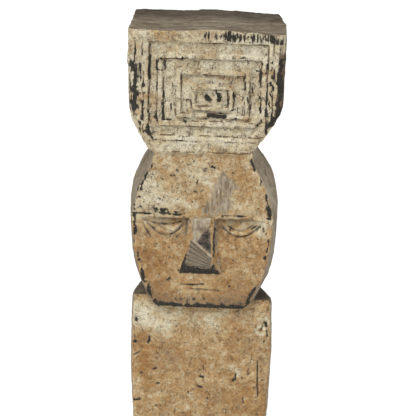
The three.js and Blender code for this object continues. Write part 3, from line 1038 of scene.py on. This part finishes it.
def cream_skin(n, place, noises):
    """The cream to ochre skin: clouded, flaked, speckled and finely cracked."""
    middle, fine = noises["middle"], noises["fine"]
    warm = n.math("ADD", n.attribute("warmth"), n.about(noises["broad"], 1.0))
    warm = n.math("ADD", warm, n.about(noises["clouds"], 0.7))
    warm = n.math("ADD", warm, n.about(middle, 0.25))
    paler = skin_tones(n, n.math("SUBTRACT", warm, 0.3))
    deeper = skin_tones(n, n.math("ADD", warm, 0.26))
    skin = skin_tones(n, warm)
    cast = n.math("ADD", noises["broad"], n.about(noises["flakes"], 0.7))
    skin = n.mix(n.between(cast, 0.5, 0.62, 0.0, 0.3), skin, TONES["greenish grey"])
    cool = n.math("MULTIPLY", n.attribute("headdress"), n.between(noises["clouds"], 0.5, 0.6))
    skin = n.mix(n.math("MULTIPLY", cool, 0.35), skin, TONES["cool grey"])
    skin = n.mix(n.between(noises["flakes"], 0.47, 0.66, 0.0, 0.7), skin, paler)
    skin = n.mix(n.between(noises["scabs"], 0.48, 0.68, 0.0, 0.7), skin, deeper)
    skin = n.shaded(skin, n.between(fine, 0.3, 0.68, 0.7, 1.06))
    lines = n.math("MAXIMUM", n.hairlines(place, 50.0, 0.02), n.hairlines(place, 34.0, 0.012))
    lines = n.math("MULTIPLY", lines, n.between(middle, 0.43, 0.56))
    skin = n.mix(n.math("MULTIPLY", lines, 0.8), skin, TONES["crack brown"])
    specks = n.math("ADD", noises["grain"], n.about(middle, 0.6))
    specks = n.math("ADD", specks, n.math("MULTIPLY", n.attribute("specked"), 0.07))
    return n.mix(n.between(specks, 0.63, 0.69, 0.0, 0.85), skin, TONES["speck"])


def bare_stone(n, noises):
    """Mottled taupe stone, faintly streaked, and darker and browner where dirt and painted shade lie."""
    tone = n.math("ADD", n.about(noises["middle"], 0.9), n.about(noises["fine"], 0.7, 0.0))
    upright = n.between(n.attribute("rubbed"), 0.0, 0.8, 0.3, 1.4)
    upright = n.math("MULTIPLY", n.about(noises["streaks"], 1.0), upright)
    level = n.math("MULTIPLY", n.about(noises["level"], 2.8), n.attribute("level"))
    upright = n.math("MULTIPLY", upright, n.between(n.attribute("level"), 1.0, 0.0))
    tone = n.math("ADD", n.math("ADD", tone, upright), level)
    tone = n.math("ADD", tone, n.about(noises["broad"], 1.1, 0.36))
    taupe = n.stops(
        tone,
        (0.2, TONES["dark taupe"]),
        (0.5, TONES["taupe"]),
        (0.85, TONES["light taupe"]),
    )
    grime_and_shade = n.math("ADD", n.attribute("grime_and_shade"), n.about(noises["broad"], 0.4))
    taupe = n.mix(n.between(grime_and_shade, 0.1, 0.9, 0.0, 0.5), taupe, TONES["grime_and_shade"])
    return n.shaded(taupe, n.between(grime_and_shade, 0.0, 1.0, 1.0, 0.36))


def skin_and_stone(n, place, noises):
    """Skin where it is left and bare stone where it has gone, with painted shade in the hollows and the
    sockets and a painted highlight where the stone stands proud.
    """
    bare = n.math("ADD", n.attribute("bare"), n.about(noises["middle"], 0.7))
    bare = n.math("ADD", bare, n.about(noises["fine"], 0.6))
    worn = n.math("MULTIPLY", n.attribute("rubbed"), n.about(noises["ticks"], 0.9))
    bare = n.math("ADD", bare, worn)
    stone = n.mix(n.between(bare, 0.42, 0.58), cream_skin(n, place, noises), bare_stone(n, noises))
    return n.shaded(stone, n.between(n.attribute("hollow_shade_and_highlight"), 0.2, 0.85, 1.12, 0.82))


def soot_and_shade_amount(n, noises):
    """How black each place is, painted shade included: ragged all over, streaked and ticked on the
    headdress.
    """
    soot_and_shade = n.math("ADD", n.attribute("soot_and_shade"), n.about(noises["middle"], 0.75))
    soot_and_shade = n.math("ADD", soot_and_shade, n.about(noises["fine"], 1.0))
    streaked = n.math("ADD", n.about(noises["ticks"], 1.7), 0.1)
    soot_and_shade = n.math("ADD", soot_and_shade, n.math("MULTIPLY", n.attribute("headdress"), streaked))
    ticked = n.math("MULTIPLY", n.attribute("combed"), n.about(noises["ticks"], 2.6, 0.43))
    return n.math("ADD", soot_and_shade, ticked)


def patina(n, noises, stone):
    """The stone under its brown stains and painted shade, and its near-black patina."""
    stain_and_shade = n.math("ADD", n.attribute("stain_and_shade"), n.about(noises["fine"], 0.9))
    stone = n.mix(n.between(stain_and_shade, 0.35, 0.65, 0.0, 0.85), stone, TONES["stain_and_shade"])
    soot_and_shade = soot_and_shade_amount(n, noises)
    stone = n.mix(n.between(soot_and_shade, 0.28, 0.5, 0.0, 0.5), stone, TONES["worn black"])
    black = n.mix(n.between(noises["grain"], 0.35, 0.65), TONES["black"], TONES["dull black"])
    return n.mix(n.between(soot_and_shade, 0.48, 0.6), stone, black)


def grain_bump(n, noises):
    """A bump for the grain that is finer than the mesh."""
    bump = n.add("ShaderNodeBump")
    bump.inputs["Strength"].default_value = 0.8
    bump.inputs["Distance"].default_value = 0.0012
    relief = n.math("ADD", noises["fine"], n.math("MULTIPLY", noises["flakes"], 0.8))
    n.put(bump.inputs["Height"], relief)
    return bump.outputs["Normal"]


def weathered_stone():
    """The figure's one material."""
    material = bpy.data.materials.new("weathered stone")
    material.use_nodes = True
    tree = material.node_tree
    tree.nodes.clear()
    n = Nodes(tree)
    place = n.add("ShaderNodeTexCoord").outputs["Object"]
    shader = n.add("ShaderNodeBsdfPrincipled")
    out = n.add("ShaderNodeOutputMaterial")
    n.put(out.inputs["Surface"], shader.outputs["BSDF"])
    noises = stone_noises(n, place)
    n.put(shader.inputs["Base Color"], patina(n, noises, skin_and_stone(n, place, noises)))
    n.put(shader.inputs["Normal"], grain_bump(n, noises))
    shader.inputs["Roughness"].default_value = 0.88
    shader.inputs["Specular IOR Level"].default_value = 0.2
    return material


# ---- floor, light and camera ----
FLOOR_TONE = 0.97
FLOOR_SIZE = 60.0
# The floor lies this far under the base, so that the two don't touch.
FLOOR_GAP = 0.0002
SKY_LIGHT = 0.45
# Where each sun shines from, its strength, and its spread in degrees.
KEY_SUN = ((-0.25, -0.52, 0.78), 2.65, 36.0)
FILL_SUN = ((0.6, 1.0, 0.8), 0.3, 60.0)


def floor():
    """A wide pale floor under the base."""
    under = (0.0, 0.0, cad_low.z - FLOOR_GAP)
    bpy.ops.mesh.primitive_plane_add(size=FLOOR_SIZE, location=under)
    plane = bpy.context.object
    plane.name = "floor"
    material = bpy.data.materials.new("pale floor")
    material.use_nodes = True
    shader = material.node_tree.nodes["Principled BSDF"]
    shader.inputs["Base Color"].default_value = (FLOOR_TONE, FLOOR_TONE, FLOOR_TONE, 1.0)
    shader.inputs["Roughness"].default_value = 0.9
    shader.inputs["Specular IOR Level"].default_value = 0.0
    plane.data.materials.append(material)


def sun(name, place, strength, spread):
    """Soft daylight that falls from a place towards the figure."""
    light = bpy.data.lights.new(name, "SUN")
    light.energy = strength
    light.angle = math.radians(spread)
    holder = bpy.data.objects.new(name, light)
    bpy.context.scene.collection.objects.link(holder)
    holder.rotation_euler = (-Vector(place)).to_track_quat("-Z", "Y").to_euler()


def white_room():
    """A room that looks white, and lights the figure softly from all sides."""
    world = bpy.data.worlds.new("white room")
    world.use_nodes = True
    n = Nodes(world.node_tree)
    seen = n.add("ShaderNodeLightPath").outputs["Is Camera Ray"]
    sky = world.node_tree.nodes["Background"]
    sky.inputs["Color"].default_value = (1.0, 1.0, 1.0, 1.0)
    n.put(sky.inputs["Strength"], n.between(seen, 0.0, 1.0, SKY_LIGHT, 1.0))
    bpy.context.scene.world = world
    sun("key", *KEY_SUN)
    sun("fill", *FILL_SUN)


# Degrees, metres and millimetres of lens; then the point that the camera looks at.
CAMERA = {"azimuth": 2.4, "elevation": 19.0, "roll": 1.3, "away": 2.75, "lens": 164.2}
AIM = Vector((0.0065, -0.056, 0.6631))


def camera():
    """Looks at the figure's upper part from a little above, slightly rolled."""
    turn, rise, roll = (math.radians(CAMERA[k]) for k in ("azimuth", "elevation", "roll"))
    flat = math.cos(rise)
    ahead = Vector((-math.sin(turn) * flat, math.cos(turn) * flat, -math.sin(rise)))
    level = Vector((math.cos(turn), math.sin(turn), 0.0))
    upright = level.cross(ahead)
    right = math.cos(roll) * level + math.sin(roll) * upright
    up = -math.sin(roll) * level + math.cos(roll) * upright
    data = bpy.data.cameras.new("camera")
    data.lens = CAMERA["lens"]
    data.clip_end = 100.0
    holder = bpy.data.objects.new("camera", data)
    bpy.context.scene.collection.objects.link(holder)
    axes = Matrix((right, up, -ahead)).transposed()
    holder.matrix_world = Matrix.Translation(AIM - CAMERA["away"] * ahead) @ axes.to_4x4()
    bpy.context.scene.camera = holder


# ---- put together ----
figure = fine_copy(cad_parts["figure"])
dressed_mesh(figure)
thinned(figure)
lay_colours(figure)
figure.data.materials.clear()
figure.data.materials.append(weathered_stone())
figure.data.shade_smooth()
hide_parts("figure")
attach(figure, "root")

floor()
white_room()
camera()
bpy.context.scene.view_settings.view_transform = "Standard"
